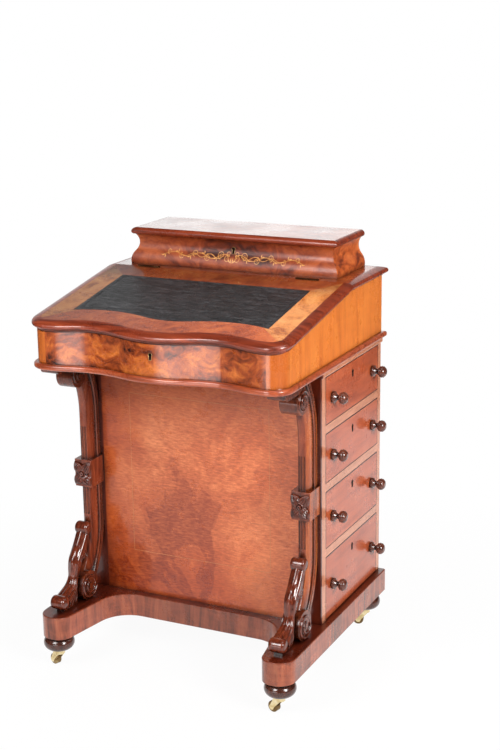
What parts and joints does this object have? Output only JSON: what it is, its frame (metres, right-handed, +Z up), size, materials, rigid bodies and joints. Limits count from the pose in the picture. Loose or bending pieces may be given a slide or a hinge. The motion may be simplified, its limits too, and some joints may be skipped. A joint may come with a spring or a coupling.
{
  "type": "davenport desk",
  "caption": "Small writing desk with a sloping leather-lined lid and a stationery box over a pedestal of side drawers, on carved scroll pillars and brass castors.",
  "frame": {"origin": "on the floor, below the centre of the bounding box", "axes": "+Z up; -Y towards the sitter; +X towards the side with the real drawers"},
  "size_m": [0.601, 0.5264, 0.87],
  "materials": {
    "dark_mahogany": "french polished, dark red-brown",
    "walnut_veneer": "polished straight and flame veneer",
    "burr_walnut": "polished burr veneer",
    "drawer_lining": "plain, unpolished",
    "black_leather": "black, fine grain, slight sheen",
    "brass": "worn bright",
    "lock_steel": "plain filed"
  },
  "bodies": {
    "carcase": {"plinth": "walnut_veneer", "bun_feet": "dark_mahogany", "castor_plates": "brass", "pedestal_front_panel": "walnut_veneer", "pedestal_back_panel": "walnut_veneer", "pedestal_left_panel": "walnut_veneer", "pedestal_top": "dark_mahogany", "drawer_rails": "walnut_veneer", "drawer_runners": "drawer_lining", "dummy_drawer_fronts": "walnut_veneer", "dummy_knobs": "dark_mahogany", "desk_base": "dark_mahogany", "desk_front": "burr_walnut", "desk_sides": "walnut_veneer", "desk_back": "walnut_veneer", "desk_deck": "dark_mahogany", "stationery_case": "burr_walnut", "stationery_back": "walnut_veneer", "stationery_partitions": "drawer_lining", "fixed_lock_cases": "lock_steel", "pillar_right": "dark_mahogany", "pillar_left": "dark_mahogany", "scroll_foot_right": "dark_mahogany", "scroll_foot_left": "dark_mahogany", "fixed_hinge_leaves": "brass"},
    "drawer_1": {"drawer_1_front": "walnut_veneer", "drawer_1_box": "drawer_lining", "drawer_1_knobs": "dark_mahogany", "drawer_1_lock_case": "lock_steel"},
    "drawer_1_bolt": {"drawer_1_lock_bolt": "lock_steel"},
    "drawer_2": {"drawer_2_front": "walnut_veneer", "drawer_2_box": "drawer_lining", "drawer_2_knobs": "dark_mahogany", "drawer_2_lock_case": "lock_steel"},
    "drawer_2_bolt": {"drawer_2_lock_bolt": "lock_steel"},
    "drawer_3": {"drawer_3_front": "walnut_veneer", "drawer_3_box": "drawer_lining", "drawer_3_knobs": "dark_mahogany", "drawer_3_lock_case": "lock_steel"},
    "drawer_3_bolt": {"drawer_3_lock_bolt": "lock_steel"},
    "drawer_4": {"drawer_4_front": "walnut_veneer", "drawer_4_box": "drawer_lining", "drawer_4_knobs": "dark_mahogany", "drawer_4_lock_case": "lock_steel"},
    "drawer_4_bolt": {"drawer_4_lock_bolt": "lock_steel"},
    "slope_lid": {"slope_lid": "burr_walnut", "writing_leather": "black_leather", "slope_lid_hinge_leaves": "brass"},
    "stationery_lid": {"stationery_lid": "dark_mahogany", "stationery_lid_hinge_leaves": "brass"},
    "desk_bolt": {"desk_lock_bolt": "lock_steel"},
    "stationery_bolt": {"stationery_lock_bolt": "lock_steel"},
    "castor_front_left_horn": {"castor_horn_front_left": "brass"},
    "castor_front_left_wheel": {"castor_wheel_front_left": "brass"},
    "castor_front_right_horn": {"castor_horn_front_right": "brass"},
    "castor_front_right_wheel": {"castor_wheel_front_right": "brass"},
    "castor_back_left_horn": {"castor_horn_back_left": "brass"},
    "castor_back_left_wheel": {"castor_wheel_back_left": "brass"},
    "castor_back_right_horn": {"castor_horn_back_right": "brass"},
    "castor_back_right_wheel": {"castor_wheel_back_right": "brass"}
  },
  "joints": [
    {"name": "drawer_1_slide", "type": "slide", "parent": "carcase", "child": "drawer_1", "axis": [1, 0, 0], "range_m": [0, 0.38]},
    {"name": "drawer_1_bolt_slide", "type": "slide", "parent": "drawer_1", "child": "drawer_1_bolt", "axis": [0, 0, 1], "range_m": [0, 0.006]},
    {"name": "drawer_2_slide", "type": "slide", "parent": "carcase", "child": "drawer_2", "axis": [1, 0, 0], "range_m": [0, 0.38]},
    {"name": "drawer_2_bolt_slide", "type": "slide", "parent": "drawer_2", "child": "drawer_2_bolt", "axis": [0, 0, 1], "range_m": [0, 0.006]},
    {"name": "drawer_3_slide", "type": "slide", "parent": "carcase", "child": "drawer_3", "axis": [1, 0, 0], "range_m": [0, 0.38]},
    {"name": "drawer_3_bolt_slide", "type": "slide", "parent": "drawer_3", "child": "drawer_3_bolt", "axis": [0, 0, 1], "range_m": [0, 0.006]},
    {"name": "drawer_4_slide", "type": "slide", "parent": "carcase", "child": "drawer_4", "axis": [1, 0, 0], "range_m": [0, 0.38]},
    {"name": "drawer_4_bolt_slide", "type": "slide", "parent": "drawer_4", "child": "drawer_4_bolt", "axis": [0, 0, 1], "range_m": [0, 0.006]},
    {"name": "slope_lid_hinge", "type": "hinge", "parent": "carcase", "child": "slope_lid", "pos_m": [0, 0.06875, 0.794], "axis": [-1, 0, 0], "range_deg": [0, 110]},
    {"name": "stationery_lid_hinge", "type": "hinge", "parent": "carcase", "child": "stationery_lid", "pos_m": [0, 0.24275, 0.856], "axis": [-1, 0, 0], "range_deg": [0, 95]},
    {"name": "desk_bolt_slide", "type": "slide", "parent": "carcase", "child": "desk_bolt", "axis": [0, 0, 1], "range_m": [0, 0.006]},
    {"name": "stationery_bolt_slide", "type": "slide", "parent": "carcase", "child": "stationery_bolt", "axis": [0, 0, 1], "range_m": [0, 0.006]},
    {"name": "castor_front_left_swivel", "type": "hinge", "parent": "carcase", "child": "castor_front_left_horn", "pos_m": [-0.2515, -0.23025, 0.035], "axis": [0, 0, 1], "continuous": true},
    {"name": "castor_front_left_roll", "type": "hinge", "parent": "castor_front_left_horn", "child": "castor_front_left_wheel", "pos_m": [-0.26541, -0.22463, 0.0115], "axis": [-0.3746, -0.9272, 0], "continuous": true},
    {"name": "castor_front_right_swivel", "type": "hinge", "parent": "carcase", "child": "castor_front_right_horn", "pos_m": [0.2515, -0.23025, 0.035], "axis": [0, 0, 1], "continuous": true},
    {"name": "castor_front_right_roll", "type": "hinge", "parent": "castor_front_right_horn", "child": "castor_front_right_wheel", "pos_m": [0.23701, -0.22637, 0.0115], "axis": [-0.2588, -0.9659, 0], "continuous": true},
    {"name": "castor_back_left_swivel", "type": "hinge", "parent": "carcase", "child": "castor_back_left_horn", "pos_m": [-0.2515, 0.21875, 0.035], "axis": [0, 0, 1], "continuous": true},
    {"name": "castor_back_left_roll", "type": "hinge", "parent": "castor_back_left_horn", "child": "castor_back_left_wheel", "pos_m": [-0.2656, 0.21362, 0.0115], "axis": [0.342, -0.9397, 0], "continuous": true},
    {"name": "castor_back_right_swivel", "type": "hinge", "parent": "carcase", "child": "castor_back_right_horn", "pos_m": [0.2515, 0.21875, 0.035], "axis": [0, 0, 1], "continuous": true},
    {"name": "castor_back_right_roll", "type": "hinge", "parent": "castor_back_right_horn", "child": "castor_back_right_wheel", "pos_m": [0.23701, 0.21487, 0.0115], "axis": [0.2588, -0.9659, 0], "continuous": true}
  ]
}
